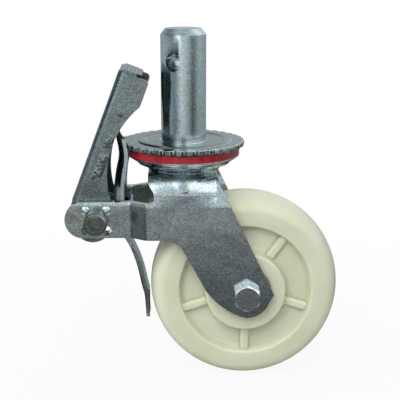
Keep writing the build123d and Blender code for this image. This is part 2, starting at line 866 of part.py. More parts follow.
# Toothed tab folded over the top of the pedal
with BuildPart(mode=Mode.PRIVATE) as tab:
    with BuildSketch(pedal_side) as tab_fold:
        with BuildLine():
            fold_outside = FilletPolyline(
                (-pedal_back, tab_top - 2 * pedal_bend),
                (-pedal_back, tab_top),
                (tab_end, tab_top),
                radius=pedal_bend,
            )
            fold_inside = FilletPolyline(
                (web_inside, tab_top - 2 * pedal_bend),
                (web_inside, tab_top - pedal_sheet),
                (tab_end, tab_top - pedal_sheet),
                radius=pedal_bend - pedal_sheet,
            )
            Line(fold_outside @ 0, fold_inside @ 0)
            Line(fold_outside @ 1, fold_inside @ 1)
        make_face()
        with Locations((tab_middle, tab_top)):
            with GridLocations(tread_spacing, 0, tread_count, 1):
                Rectangle(
                    tread_depth * sqrt(2),
                    tread_depth * sqrt(2),
                    rotation=45,
                    mode=Mode.SUBTRACT,
                )
    extrude(amount=tab_half_width, both=True)
    with BuildSketch(pedal_section):
        with Locations((tab_end - cheek_depth / 2, 0)):
            RectangleRounded(cheek_depth, 2 * tab_half_width, tab_corner)
    extrude(amount=2 * tab_top, mode=Mode.INTERSECT)

with BuildPart() as pedal:
    # Channel of web and cheeks
    with BuildSketch(pedal_section):
        with BuildSketch(mode=Mode.PRIVATE) as pedal_outside:
            with Locations((-pedal_back, 0)):
                Rectangle(cheek_depth, 2 * pedal_half_width, align=(Align.MIN, Align.CENTER))
            fillet(pedal_outside.vertices().group_by(Axis.X)[0], pedal_bend)
        with BuildSketch(mode=Mode.PRIVATE) as pedal_hollow:
            with Locations((web_inside, 0)):
                Rectangle(cheek_depth, 2 * pedal_inner, align=(Align.MIN, Align.CENTER))
            fillet(pedal_hollow.vertices().group_by(Axis.X)[0], pedal_bend - pedal_sheet)
        add(pedal_outside.sketch)
        add(pedal_hollow.sketch, mode=Mode.SUBTRACT)
    extrude(amount=2 * pedal_length, both=True)
    # Side outline
    with BuildSketch(pedal_side):
        with BuildLine():
            Line((-pedal_back, pedal_web_foot), (-pedal_back, pedal_length))
            FilletPolyline(
                (-pedal_back, pedal_length),
                (head_front, pedal_length),
                (head_front, pedal_head_foot),
                radius=pedal_corner,
            )
            TangentArc(waist, (head_front, pedal_head_foot), tangent=(0, 1))
            TangentArc(waist, hip, tangent=(0, -1))
            Line(hip, lobe_start)
            ThreePointArc(lobe_start, lobe_point(pedal_lobe_middle), lobe_end)
            TangentArc((-pedal_back, pedal_web_foot), lobe_end, tangent=(0, -1))
        make_face()
    extrude(amount=pedal_half_width, both=True, mode=Mode.INTERSECT)
    # Web cut away under its foot and under the tab
    with BuildSketch(pedal_side):
        with Locations((-pedal_back, pedal_web_foot), (-pedal_back, tab_top + pedal_bend)):
            Rectangle(2 * pedal_bend, 3 * pedal_bend, align=(Align.CENTER, Align.MAX))
    extrude(amount=pedal_half_width - pedal_bend, both=True, mode=Mode.SUBTRACT)
    with BuildSketch(pedal_side):
        with Locations((-pedal_back, pedal_web_foot)):
            Rectangle(2 * pedal_bend, 3 * pedal_lobe_radius, align=(Align.CENTER, Align.MAX))
    extrude(amount=pedal_inner, both=True, mode=Mode.SUBTRACT)
    add(tab.part)
    # Pivot hole and detent seats
    with BuildSketch(Plane.XZ):
        with Locations((pivot_x, pivot_z)):
            Circle(pivot_sleeve_radius + running_gap)
            with GridLocations(detent_spacing, detent_spacing, 2, 2):
                Circle(detent_seat_radius)
    extrude(amount=pedal_half_width, both=True, mode=Mode.SUBTRACT)
pedal.part.label = "pedal"
export_step(pedal.part, "parts/pedal.step")


# Brake lever: a hollow plate behind the toothed rim that runs down to the tread
lever_radius = plate_radius + lever_gap
band_half_span = lever_half_width + 1
rim_hollow = lever_radius - sqrt(lever_radius**2 - band_half_span**2)
lever_throat_drop = lever_pinch_drop + lever_throat_run
lever_chest_drop = lever_throat_drop + lever_chest_run
lever_belly_drop = rivet_drop - lever_belly_rise
lever_shoulder_drop = rivet_drop + lever_shoulder_run
lever_neck_drop = rivet_drop + lever_neck_run
lever_tongue_drop = lever_neck_drop + lever_tongue_run
lever_calf_drop = lever_tongue_drop + lever_calf_run
lever_heel_drop = lever_calf_drop + lever_heel_run
lever_foot_drop = lever_heel_drop + lever_foot_run


def lever_band(level, middle, hollow):
    """Cross section of the lever sheet at a level, hollow towards the wheel."""
    with BuildSketch(Plane.XY.offset(level), mode=Mode.PRIVATE) as band:
        with BuildLine():
            ThreePointArc((middle + hollow, -band_half_span), (middle, 0), (middle + hollow, band_half_span))
            ThreePointArc(
                (middle + hollow - lever_sheet, -band_half_span),
                (middle - lever_sheet, 0),
                (middle + hollow - lever_sheet, band_half_span),
            )
            for end in (-band_half_span, band_half_span):
                Line((middle + hollow, end), (middle + hollow - lever_sheet, end))
        make_face()
    return band.sketch


# Guide of the inner face: its place along X, its hollow along Y, its level along Z
with BuildLine(mode=Mode.PRIVATE) as lever_guide:
    Spline(
        (-lever_radius - lever_flare, rim_hollow, lever_peak + lever_sheet),
        (-lever_radius, rim_hollow, 0),
        (lever_pinch - lever_radius, lever_pinch_hollow, -lever_pinch_drop),
        (lever_throat_x, lever_throat_hollow, -lever_throat_drop),
        (lever_chest_x, lever_chest_hollow, -lever_chest_drop),
        (lever_belly_x, lever_belly_hollow, -lever_belly_drop),
        (lever_rivet_x, lever_rivet_hollow, -rivet_drop),
        (lever_neck_x, lever_neck_hollow, -lever_neck_drop),
        (lever_tongue_x, lever_tongue_hollow, -lever_tongue_drop),
        (lever_calf_x, lever_calf_hollow, -lever_calf_drop),
        (lever_heel_x, lever_heel_hollow, -lever_heel_drop),
        (lever_foot_x, lever_foot_hollow, -lever_foot_drop - lever_sheet),
        tangents=((0, 0, -1), (lever_foot_turn, 0, -1)),
    )
lever_bands = []
for index in range(lever_band_count + 1):
    station = lever_guide.line @ (index / lever_band_count)
    lever_bands.append(lever_band(station.Z, station.X, station.Y))
with BuildPart() as brake_lever:
    loft(lever_bands)
    # Outline of the blank seen along the travel
    with BuildSketch(Plane.YZ) as lever_outline:
        with BuildLine():
            FilletPolyline(
                (-lever_half_width, lever_near_shoulder),
                (0, lever_peak),
                (lever_far_step, lever_far_shoulder),
                (lever_half_width, lever_far_shoulder),
                radius=lever_top_round,
            )
            for edge, shoulder in ((-1, lever_near_shoulder), (1, lever_far_shoulder)):
                FilletPolyline(
                    (edge * lever_half_width, shoulder),
                    (edge * lever_half_width, -lever_shoulder_drop),
                    (edge * lever_foot_half_width, -lever_tongue_drop),
                    (edge * lever_foot_half_width, -lever_foot_drop),
                    (0, -lever_foot_drop),
                    radius=[lever_waist_round, lever_waist_round, lever_foot_round],
                )
        make_face()
    extrude(amount=2 * lever_radius, both=True, mode=Mode.INTERSECT)
    with BuildSketch(Plane.YZ):
        with Locations((0, -rivet_drop)):
            with GridLocations(rivet_spacing, 0, 2, 1):
                Circle(rivet_radius + running_gap)
    extrude(amount=-2 * lever_radius, mode=Mode.SUBTRACT)
brake_lever.part.label = "brake_lever"
export_step(brake_lever.part, "parts/brake_lever.step")

# Bridge plate welded between the arms
bridge_plane = Plane(origin=(bridge_x, 0, -rivet_drop), x_dir=(0, 1, 0), z_dir=(1, 0, 0))
with BuildPart() as lever_bridge:
    with BuildSketch(bridge_plane):
        Rectangle(2 * arm_inner, bridge_height)
        with GridLocations(rivet_spacing, 0, 2, 1):
            Circle(rivet_radius, mode=Mode.SUBTRACT)
    extrude(amount=bridge_thickness)
lever_bridge.part.label = "lever_bridge"
export_step(lever_bridge.part, "parts/lever_bridge.step")

# Guide rivets through bridge, spring and lever
rivet_grip = bridge_x + bridge_thickness - rivet_head_x
rivet_end = rivet_grip + rivet_head_height
rivet_places = []
for sign in sides.values():
    place = (rivet_head_x, sign * rivet_spacing / 2, -rivet_drop)
    rivet_places.append(Plane(origin=place, z_dir=(1, 0, 0)))
with BuildPart(mode=Mode.PRIVATE) as rivet:
    with BuildSketch(Plane.XZ):
        with BuildLine():
            TangentArc((0, -rivet_head_height), (rivet_head_radius, 0), tangent=(1, 0))
            Polyline(
                (rivet_head_radius, 0),
                (rivet_radius, 0),
                (rivet_radius, rivet_grip),
                (rivet_head_radius, rivet_grip),
            )
            TangentArc((0, rivet_end), (rivet_head_radius, rivet_grip), tangent=(1, 0))
            Line((0, rivet_end), (0, -rivet_head_height))
        make_face()
    revolve(axis=Axis.Z)
with BuildPart() as guide_rivets:
    with Locations(*rivet_places):
        add(rivet.part)
guide_rivets.part.label = "guide_rivets"
export_step(guide_rivets.part, "parts/guide_rivets.step")

# Bow spring that holds the lever off the rim and the tread
spring_foot = bridge_x - spring_gap
spring_crown = spring_foot - spring_bow
with BuildPart() as return_spring:
    with BuildSketch(Plane.XY.offset(-rivet_drop - spring_height / 2)):
        with BuildLine():
            ThreePointArc(
                (spring_foot - spring_thickness, -spring_half_span),
                (spring_crown, 0),
                (spring_foot - spring_thickness, spring_half_span),
            )
            ThreePointArc(
                (spring_foot, -spring_half_span),
                (spring_crown + spring_thickness, 0),
                (spring_foot, spring_half_span),
            )
            for end in (-spring_half_span, spring_half_span):
                Line((spring_foot - spring_thickness, end), (spring_foot, end))
        make_face()
    extrude(amount=spring_height)
    with BuildSketch(bridge_plane):
        with GridLocations(rivet_spacing, 0, 2, 1):
            Circle(rivet_radius + spring_gap)
    extrude(amount=-lever_radius, mode=Mode.SUBTRACT)
return_spring.part.label = "return_spring"
export_step(return_spring.part, "parts/return_spring.step")
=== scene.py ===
"""Looks of the scaffold castor: finishes, rounded edges, threads and the studio round it.

Metres, in the frame of the solids: +Z up the stem, +X towards the wheel, -Y towards the camera.
"""

from math import pi, radians, sin

import bmesh
import bpy
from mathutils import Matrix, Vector


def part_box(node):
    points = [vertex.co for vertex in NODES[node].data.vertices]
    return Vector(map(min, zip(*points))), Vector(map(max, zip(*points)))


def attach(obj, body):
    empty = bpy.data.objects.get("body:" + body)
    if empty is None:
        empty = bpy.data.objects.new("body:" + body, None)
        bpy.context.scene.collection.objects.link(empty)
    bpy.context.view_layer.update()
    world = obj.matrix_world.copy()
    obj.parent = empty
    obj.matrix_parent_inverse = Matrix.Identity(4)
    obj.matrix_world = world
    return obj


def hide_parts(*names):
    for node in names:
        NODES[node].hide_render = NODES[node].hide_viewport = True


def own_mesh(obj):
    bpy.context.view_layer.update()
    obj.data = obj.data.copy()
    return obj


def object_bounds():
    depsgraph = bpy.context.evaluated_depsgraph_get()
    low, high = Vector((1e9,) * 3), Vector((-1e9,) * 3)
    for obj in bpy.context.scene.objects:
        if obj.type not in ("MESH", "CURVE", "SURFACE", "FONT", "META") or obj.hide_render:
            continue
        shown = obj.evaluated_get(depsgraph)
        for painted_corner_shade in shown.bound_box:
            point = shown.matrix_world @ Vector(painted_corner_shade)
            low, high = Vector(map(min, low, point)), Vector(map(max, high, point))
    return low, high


bl_info = {
    "name": "Scaffold castor looks",
    "version": (1, 0, 0),
    "blender": (4, 5, 0),
    "location": "View3D > Sidebar > Castor",
    "description": "Dresses the solids of a scaffold castor and sets its studio",
    "category": "Object",
}

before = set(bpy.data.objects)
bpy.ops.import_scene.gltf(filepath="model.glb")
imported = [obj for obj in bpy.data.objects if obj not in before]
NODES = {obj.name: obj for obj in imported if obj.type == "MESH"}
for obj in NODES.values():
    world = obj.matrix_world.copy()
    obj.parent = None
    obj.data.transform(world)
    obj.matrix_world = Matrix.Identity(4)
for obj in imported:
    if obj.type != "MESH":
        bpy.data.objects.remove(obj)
CAD_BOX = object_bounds()
MM = 0.001
UM = 0.000001
FINISHES = {}

# Merging and flattening of a solid's facets before its edges are rounded
MERGE_REACH = 2 * UM
FLAT_ANGLE = 0.4
SHARP_ANGLE = 32
PIECE_SHARP_ANGLE = 35

# Faces that take a piece's second finish: sheared edges in a pale tone, partly their own and
# partly painted highlight; the stem's hole wall in a dark tone, partly painted shade; the teeth's
# upright faces in a bright tone, partly painted highlight. How far a sheared face may turn to the
# side, and where on each piece such faces lie
EDGE_ON = 0.25
LEG_TOP = -28.5 * MM
PEDAL_BACK = -0.2
PEDAL_CHEEK = 20.4 * MM
LEVER_SIDE = 0.8
HOLE_LEVELS = (50 * MM, 73 * MM)
HOLE_REACH = 15.5 * MM
TOOTH_UPRIGHT = 0.5
TOOTH_FOOT = 40 * MM

# The crown's bend, seen from the side: its middle and half width, how far its ends curl, the share
# of the half width at which the curl levels off, and the levels between which it comes in
BEND_MIDDLE = -2 * MM
BEND_HALF = 25 * MM
CURL_DEPTH = 1.5 * MM
CURL_LIMIT = 1.05
CURL_POWER = 4.0
CURL_LEVELS = (-46 * MM, -34 * MM)

# The row of dents on the pedal's cheeks: its place at level 0, its lean and depth, how far from
# its line it starts to fade and ends, the same for its upper end, and the dents and their groups
DENT_LINE = -57.6 * MM
DENT_LEAN = 0.385
DENT_DEPTH = 1.1 * MM
DENT_SIDES = (1.0 * MM, 4.2 * MM)
DENT_TOP = (40 * MM, 47 * MM)
DENT_SIZE = 2.6 * MM
DENT_GROUP = 15 * MM
DENT_GROUP_SPAN = (0.42, 0.56)

# Where most values of a noise lie
NOISE_SPAN = (0.3, 0.7)

# How far a fleck of the plating's grain darkens and brightens, for each unit of spark, and the
# length of the slight waves in rolled sheet
FLECK_DARK = 1.4
FLECK_BRIGHT = 0.4
SHEET_WAVE = 22 * MM

# The 12 mm bolts and their threads: how deep a ridge's foot is sunk, its width and the place of
# its crest as shares of the pitch, its steps in one turn, and the plain tip of the bolt
BOLT_RADIUS = 6 * MM
THREAD_SINK = 0.2 * MM
THREAD_WIDTH = 0.8
THREAD_CREST = 0.4
THREAD_STEPS = 32
BOLT_TIP = 0.6 * MM

# The plating mirrors a plain set of panels in a dim room. Each panel is given by the bearings from
# the front, in degrees, between which it stands, and by its tone
BACK_WALL = "#8A9194"
WALL = "#BCC6C8"
WINDOW = "#F6FBFC"
SHADE = "#8C9CA4"
DOORWAY = "#5C6669"
CURTAIN = "#364350"
LOW_ROOM = (
    (-125, -75, WALL),
    (-50, -40, SHADE),
    (-15, 0, WINDOW),
    (45, 50, DOORWAY),
    (80, 110, WALL),
)
HIGH_ROOM = (
    (-75, -58, CURTAIN),
    (-35, -20, WINDOW),
    (-10, 7, SHADE),
    (15, 35, WINDOW),
)
# How the low part darkens towards the floor, by the height in degrees
LOW_HEIGHTS = (
    (-90, "#CCCCCC"),
    (-34, "#CCCCCC"),
    (-27, "#505050"),
    (-20.5, "#505050"),
    (-9, "#FFFFFF"),
    (90, "#FFFFFF"),
)
# The heights in degrees between which the high part takes over, and how much brighter it is
HIGH_HEIGHTS = (-3, 9)
HIGH_GLOW = 2.3
# The plain tone overhead and underfoot, and how steep a ray is where it comes in
POLE = "#8D979B"
POLE_STEEP = (0.72, 0.92)
DOME_RADIUS = 4.0

# The air's light, the floor's paper, and the share of white that the camera sees on the floor
# at two distances from the middle
AIR = "#E9EDF0"
AIR_STRENGTH = 0.5
PAPER = "#C6C6C4"
FLOOR_SIZE = 3.0
FLOOR_GAP = 0.2 * MM
FLOOR_REACH = (0.2, 0.5)
FLOOR_WHITE = (0.92, 1.0)

# Each lamp's place, size, power and colour
LAMPS = {
    "key_lamp": ((-0.35, -1.1, 1.0), 0.9, 17.0, "#FFFFFF"),
    "side_lamp": ((-1.2, -0.2, 0.5), 0.8, 7.0, "#EEF4FF"),
    "back_lamp": ((0.5, 0.9, 1.2), 0.9, 9.0, "#FFFFFF"),
}
LAMP_AIM = (0, 0, -0.06)

CAMERA_PLACE = (-0.0066, -0.7, 0.135)
CAMERA_AIM = (0.01275, 0, -0.04905)
CAMERA_LENS = 81.8
SENSOR_WIDTH = 36.0


# Colours and nodes


def linear(code, alpha=1.0):
    """A linear colour from its sRGB hex code."""
    channels = []
    for start in (1, 3, 5):
        value = int(code[start : start + 2], 16) / 255
        channels.append(value / 12.92 if value <= 0.04045 else ((value + 0.055) / 1.055) ** 2.4)
    return (*channels, alpha)


def add_node(tree, kind, inputs=None, **settings):
    """A node with its settings, its input values and its links."""
    node = tree.nodes.new(kind)
    for name, value in settings.items():
        setattr(node, name, value)
    for name, value in (inputs or {}).items():
        if isinstance(value, bpy.types.NodeSocket):
            tree.links.new(value, node.inputs[name])
        else:
            node.inputs[name].default_value = value
    return node


def new_material(name):
    """An empty node material, its tree and its Object coordinates."""
    material = bpy.data.materials.new(name)
    material.use_nodes = True
    tree = material.node_tree
    tree.nodes.clear()
    place = add_node(tree, "ShaderNodeTexCoord").outputs["Object"]
    return material, tree, place


def finish_material(material, tree, shader):
    """Links the surface shader to the output."""
    add_node(tree, "ShaderNodeOutputMaterial", {"Surface": shader})
    return material


def ramp(tree, factor, stops):
    """A colour ramp through (position, hex) stops."""
    node = add_node(tree, "ShaderNodeValToRGB", {"Fac": factor})
    band = node.color_ramp
    while len(band.elements) < len(stops):
        band.elements.new(0.5)
    for element, (position, code) in zip(band.elements, stops):
        element.position = position
        element.color = linear(code)
    return node.outputs["Color"]


def even_stops(codes, first=NOISE_SPAN[0], last=NOISE_SPAN[1]):
    """The stops of a ramp whose tones lie evenly between two positions."""
    step = (last - first) / (len(codes) - 1)
    return [(first + step * index, code) for index, code in enumerate(codes)]


def math_node(tree, operation, first, second=0.0):
    """The value of one sum on two values or sockets."""
    return add_node(
        tree, "ShaderNodeMath", {0: first, 1: second}, operation=operation
    ).outputs["Value"]


def map_range(tree, value, start, end, low=0.0, high=1.0, **settings):
    """A value stretched from one range to another, and held at its ends."""
    return add_node(
        tree,
        "ShaderNodeMapRange",
        {"Value": value, "From Min": start, "From Max": end, "To Min": low, "To Max": high},
        **settings,
    ).outputs["Result"]


def noise(tree, place, size, detail, roughness=0.5):
    """Soft noise with blotches of about the given size."""
    return add_node(
        tree,
        "ShaderNodeTexNoise",
        {"Vector": place, "Scale": 1 / size, "Detail": detail, "Roughness": roughness},
    ).outputs["Fac"]


def bump(tree, height, depth, normal=None):
    """The normal of a surface with a height on it."""
    inputs = {"Height": height, "Strength": 1.0, "Distance": depth}
    if normal is not None:
        inputs["Normal"] = normal
    return add_node(tree, "ShaderNodeBump", inputs).outputs["Normal"]


def mix_colours(tree, share, first, second, blend="MIX"):
    """Two colours mixed by a share."""
    return add_node(
        tree,
        "ShaderNodeMix",
        {"Factor": share, "A": first, "B": second},
        data_type="RGBA",
        blend_type=blend,
    ).outputs["Result"]


# Materials


def fork_relief(tree, place, normal):
    """The crown's bend, whose ends curl back a little, as a bent sheet's do."""
    parts = add_node(tree, "ShaderNodeSeparateXYZ", {"Vector": place})
    across = math_node(tree, "SUBTRACT", parts.outputs["X"], BEND_MIDDLE)
    share = math_node(tree, "ABSOLUTE", math_node(tree, "DIVIDE", across, BEND_HALF))
    curl = math_node(tree, "POWER", math_node(tree, "MINIMUM", share, CURL_LIMIT), CURL_POWER)
    near_bend = map_range(
        tree, parts.outputs["Z"], *CURL_LEVELS, interpolation_type="SMOOTHSTEP"
    )
    return bump(tree, math_node(tree, "MULTIPLY", curl, near_bend), -CURL_DEPTH, normal)


def pedal_relief(tree, place, normal):
    """A row of hammer dents down each cheek of the pedal, beside the fold."""
    parts = add_node(tree, "ShaderNodeSeparateXYZ", {"Vector": place})
    lean = math_node(tree, "MULTIPLY", parts.outputs["Z"], DENT_LEAN)
    across = math_node(tree, "SUBTRACT", parts.outputs["X"], lean)
    off = math_node(tree, "ABSOLUTE", math_node(tree, "SUBTRACT", across, DENT_LINE))
    beside = map_range(tree, off, *DENT_SIDES, 1.0, 0.0)
    below = map_range(tree, parts.outputs["Z"], *DENT_TOP, 1.0, 0.0)
    group = map_range(tree, noise(tree, place, DENT_GROUP, 0.0), *DENT_GROUP_SPAN)
    row = math_node(tree, "MULTIPLY", math_node(tree, "MULTIPLY", beside, below), group)
    dents = noise(tree, place, DENT_SIZE, 1.0)
    return bump(tree, math_node(tree, "MULTIPLY", dents, row), DENT_DEPTH, normal)


def zinc_finish(
    name, tones, cloud_mm, grain_mm, rough, bump_um, spark=0.3, wave_um=0.0, relief=None
):
    """Zinc electroplate over pressed or turned steel, with a clear passivation.

    The plating is bright but thin, so the rolled grain under it breaks each reflection into fine
    sparkle, the sheet's slight waves bend it, and faint cool and olive clouds lie over it.

    rough is the least and the greatest roughness, spark the strength of the flecks, and relief
    adds the normals of a piece's own dents and creases. Other metals use it with other tones.
    """
    material, tree, place = new_material(name)
    cloud = noise(tree, place, cloud_mm * MM, 4.0, 0.6)
    grain = noise(tree, place, grain_mm * MM, 2.0, 0.6)
    crystal = add_node(
        tree,
        "ShaderNodeTexVoronoi",
        {"Vector": place, "Scale": 1 / (grain_mm * MM)},
        feature="F1",
    ).outputs["Color"]
    fleck = add_node(tree, "ShaderNodeSeparateColor", {"Color": crystal}).outputs["Red"]
    shade = map_range(tree, fleck, 0.0, 1.0, 1 - FLECK_DARK * spark, 1 + FLECK_BRIGHT * spark)
    waved = bump(tree, noise(tree, place, SHEET_WAVE, 1.0), wave_um * UM)
    if relief:
        waved = relief(tree, place, waved)
    shader = add_node(
        tree,
        "ShaderNodeBsdfPrincipled",
        {
            "Base Color": mix_colours(
                tree, 1.0, ramp(tree, cloud, even_stops(tones)), shade, "MULTIPLY"
            ),
            "Metallic": 1.0,
            "Roughness": map_range(tree, grain, *NOISE_SPAN, *rough),
            "Normal": bump(tree, grain, bump_um * UM, waved),
        },
    )
    return finish_material(material, tree, shader.outputs["BSDF"])


def nylon_finish(settings):
    """Natural cast nylon: ivory, slightly translucent, with a moulded half-gloss skin.

    The light that it lets in softens its shades. Its corners and recess edges take a painted warm
    shade, laid in by ambient occlusion.
    """
    material, tree, place = new_material("natural_nylon_moulded")
    cloud = noise(tree, place, 24 * MM, 3.0)
    plain = ramp(tree, cloud, even_stops((settings.nylon_shade, settings.nylon_light)))
    # Painted shade: a darker warm tone mixed in where ambient occlusion finds corners and recesses
    painted_corner_shade = add_node(tree, "ShaderNodeAmbientOcclusion", {"Distance": 3 * MM}, samples=8)
    shader = add_node(
        tree,
        "ShaderNodeBsdfPrincipled",
        {
            "Base Color": mix_colours(
                tree, painted_corner_shade.outputs["AO"], linear(settings.nylon_corner_shade), plain
            ),
            "Roughness": 0.34,
            "IOR": 1.53,
            "Normal": bump(tree, noise(tree, place, 2.5 * MM, 2.0), 40 * UM),
            "Subsurface Weight": 0.8,
            "Subsurface Radius": (1.0, 0.9, 0.5),
            "Subsurface Scale": 8 * MM,
        },
    )
    return finish_material(material, tree, shader.outputs["BSDF"])


def ring_finish(settings):
    """Injection-moulded red plastic with a glossy skin and faint flow marks."""
    material, tree, place = new_material("red_plastic_moulded")
    flow = noise(tree, place, 7 * MM, 2.0)
    tones = even_stops((settings.ring_shade, settings.ring_light), 0.35, 0.65)
    shader = add_node(
        tree,
        "ShaderNodeBsdfPrincipled",
        {
            "Base Color": ramp(tree, flow, tones),
            "Roughness": 0.24,
            "IOR": 1.5,
            "Normal": bump(tree, flow, 60 * UM),
        },
    )
    return finish_material(material, tree, shader.outputs["BSDF"])


def make_finishes(colours):
    """All materials of the castor."""
    zinc = (colours.zinc_warm, colours.zinc_mid, colours.zinc_cool)
    dull = ("#848A87", "#87918F", "#83919A")
    stained = ("#7C8781", "#8D9894", "#86949A")
    # Pale tones for sheared faces and new fasteners; on sheared edges, teeth and plungers they
    # also stand in for painted highlight
    pale_tones_and_highlight = ("#DCE0DE", "#EBEFF0")
    FINISHES.update(
        # Broken, sparkling reflections over cool clouds
        sheet=zinc_finish(
            "zinc_plated_sheet", zinc, cloud_mm=12, grain_mm=1.0, rough=(0.12, 0.24),
            bump_um=60, spark=0.26, wave_um=350,
        ),
        # The same sheet, with a bright curl along the crown's bend
        fork=zinc_finish(
            "zinc_plated_fork_sheet", zinc, cloud_mm=12, grain_mm=1.0, rough=(0.12, 0.24),
            bump_um=60, spark=0.26, wave_um=350, relief=fork_relief,
        ),
        # Handled and trodden on: duller, wavier and dented
        pedal=zinc_finish(
            "zinc_plated_pedal_sheet", dull, cloud_mm=10, grain_mm=1.0, rough=(0.16, 0.28),
            bump_um=70, spark=0.28, wave_um=500, relief=pedal_relief,
        ),
        # Smoother and calmer than the fork's sheet
        lever=zinc_finish(
            "zinc_plated_lever_sheet", zinc, cloud_mm=14, grain_mm=0.9, rough=(0.12, 0.24),
            bump_um=25, spark=0.2, wave_um=200,
        ),
        # A pale matt tone on each sheared edge and its rounding: partly the sheared face's own,
        # partly painted highlight
        sheared=zinc_finish(
            "zinc_plated_sheared_edge_and_highlight", pale_tones_and_highlight, cloud_mm=6, grain_mm=0.9, rough=(0.35, 0.55),
            bump_um=60,
        ),
        # The stem's long clear reflections, with a fine grain in them
        bar=zinc_finish(
            "zinc_plated_turned_bar", zinc, cloud_mm=16, grain_mm=0.9, rough=(0.12, 0.24),
            bump_um=40, spark=0.2,
        ),
        # Greyer, with olive stains where water stands
        plate=zinc_finish(
            "zinc_plated_plate", stained, cloud_mm=12, grain_mm=0.9, rough=(0.16, 0.3),
            bump_um=50, spark=0.2,
        ),
        # Bright tone on the teeth's sheared faces and on the plungers: partly their own, partly
        # painted highlight
        teeth=zinc_finish(
            "zinc_plated_teeth_and_highlight", pale_tones_and_highlight, cloud_mm=6, grain_mm=0.9, rough=(0.18, 0.3),
            bump_um=40, spark=0.2,
        ),
        # The clean, bright flats of new bolts and nuts
        fastener=zinc_finish(
            "zinc_plated_fastener", pale_tones_and_highlight, cloud_mm=8, grain_mm=0.8, rough=(0.12, 0.22),
            bump_um=15, spark=0.15,
        ),
        # A dark head, rubbed grey
        screw=zinc_finish(
            "black_oxide_worn_screw", ("#6E706A", "#878A84"), cloud_mm=5, grain_mm=0.8,
            rough=(0.2, 0.32), bump_um=30, spark=0.2,
        ),
        # The dull wall of a drilled hole, nearly black: partly the bare steel's tone, partly
        # painted shade inside the hole
        bore=zinc_finish(
            "drilled_steel_bore", ("#2C2E30", "#3C3F41"), cloud_mm=5, grain_mm=0.8,
            rough=(0.5, 0.65), bump_um=30, spark=0.2,
        ),
        # Smooth, even steel, almost a mirror
        steel=zinc_finish(
            "ground_bearing_steel", ("#9EA0A2", "#B8BABC"), cloud_mm=8, grain_mm=0.8,
            rough=(0.12, 0.2), bump_um=6, spark=0.1,
        ),
        # A brownish yellow, half matt
        cap=zinc_finish(
            "yellow_passivated_steel", (colours.cap_brown, "#A08F63"), cloud_mm=5, grain_mm=0.8,
            rough=(0.3, 0.45), bump_um=30, spark=0.2,
        ),
        nylon=nylon_finish(colours),
        ring=ring_finish(colours),
    )


# Pieces


def dressed_copy(
    node_name,
    piece_name,
    body,
    finishes,
    rounding,
    sharp=SHARP_ANGLE,
    edge_test=None,
    edge_slot=-1,
):
    """A merged copy of a solid with its sharp edges rounded, which stands for that solid.

    sharp is the least angle in degrees between the faces of a sharp edge. Faces that pass
    edge_test take the second finish, and so do the rounded edges with edge_slot 1.
    """
    source = NODES[node_name]
    mesh = bpy.data.meshes.new(piece_name)
    bm = bmesh.new()
    bm.from_mesh(source.data)
    bmesh.ops.remove_doubles(bm, verts=bm.verts, dist=MERGE_REACH)
    bmesh.ops.dissolve_limit(
        bm,
        angle_limit=radians(FLAT_ANGLE),
        verts=bm.verts,
        edges=bm.edges,
        use_dissolve_boundaries=False,
    )
    for face in bm.faces:
        face.smooth = True
        if edge_test and edge_test(face):
            face.material_index = 1
    bm.to_mesh(mesh)
    bm.free()
    mesh.set_sharp_from_angle(angle=radians(sharp))
    piece = bpy.data.objects.new(piece_name, mesh)
    bpy.context.scene.collection.objects.link(piece)
    mesh.materials.clear()
    for finish in finishes:
        mesh.materials.append(finish)
    if rounding:
        bevel = piece.modifiers.new("worn_edges", "BEVEL")
        bevel.width = rounding
        bevel.segments = 2
        bevel.limit_method = "ANGLE"
        bevel.angle_limit = radians(sharp)
        bevel.material = edge_slot
        bevel.harden_normals = True
        bevel.use_clamp_overlap = True
    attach(piece, body)
    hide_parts(node_name)
    return piece


def wear_finish(node_name, finish):
    """Gives a solid its finish, with its own mesh kept as it is."""
    mesh = NODES[node_name].data
    mesh.materials.clear()
    mesh.materials.append(finish)


def mesh_piece(name, bm, finish, body):
    """A new piece from a bmesh, with its place in its mesh."""
    mesh = bpy.data.meshes.new(name)
    bmesh.ops.recalc_face_normals(bm, faces=bm.faces)
    for face in bm.faces:
        face.smooth = True
    bm.to_mesh(mesh)
    bm.free()
    mesh.set_sharp_from_angle(angle=radians(PIECE_SHARP_ANGLE))
    piece = bpy.data.objects.new(name, mesh)
    bpy.context.scene.collection.objects.link(piece)
    mesh.materials.append(finish)
    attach(piece, body)
    return piece


def thread_ridge(name, centre, start, end, radius, settings, finish, body):
    """A screw thread's ridge wound round a bolt along Y, from start to end."""
    axis = Vector((0, 1, 0))
    side = Vector((1, 0, 0))
    pitch = settings.thread_pitch
    turns = (end - start - pitch * THREAD_WIDTH) / pitch
    steps = max(THREAD_STEPS // 4, int(turns * THREAD_STEPS))
    corners = (
        (-THREAD_SINK, 0.0),
        (settings.thread_height, pitch * THREAD_CREST),
        (-THREAD_SINK, pitch * THREAD_WIDTH),
    )
    bm = bmesh.new()
    ring = []
    for out, along in corners:
        place = Vector(centre) + side * (radius + out) + axis * (start + along)
        ring.append(bm.verts.new(place))
    face = bm.faces.new(ring)
    bmesh.ops.spin(
        bm,
        geom=[face, *face.edges, *face.verts],
        cent=centre,
        axis=axis,
        dvec=axis * (pitch * turns / steps),
        angle=2 * pi * turns,
        steps=steps,
        use_merge=False,
        use_duplicate=False,
    )
    return mesh_piece(name, bm, finish, body)


def is_fork_edge(face):
    """The sheared edges of the legs and arms, below the crown's bend, which take the pale tone
    with its painted highlight.
    """
    return abs(face.normal.y) < EDGE_ON and face.calc_center_median().z < LEG_TOP


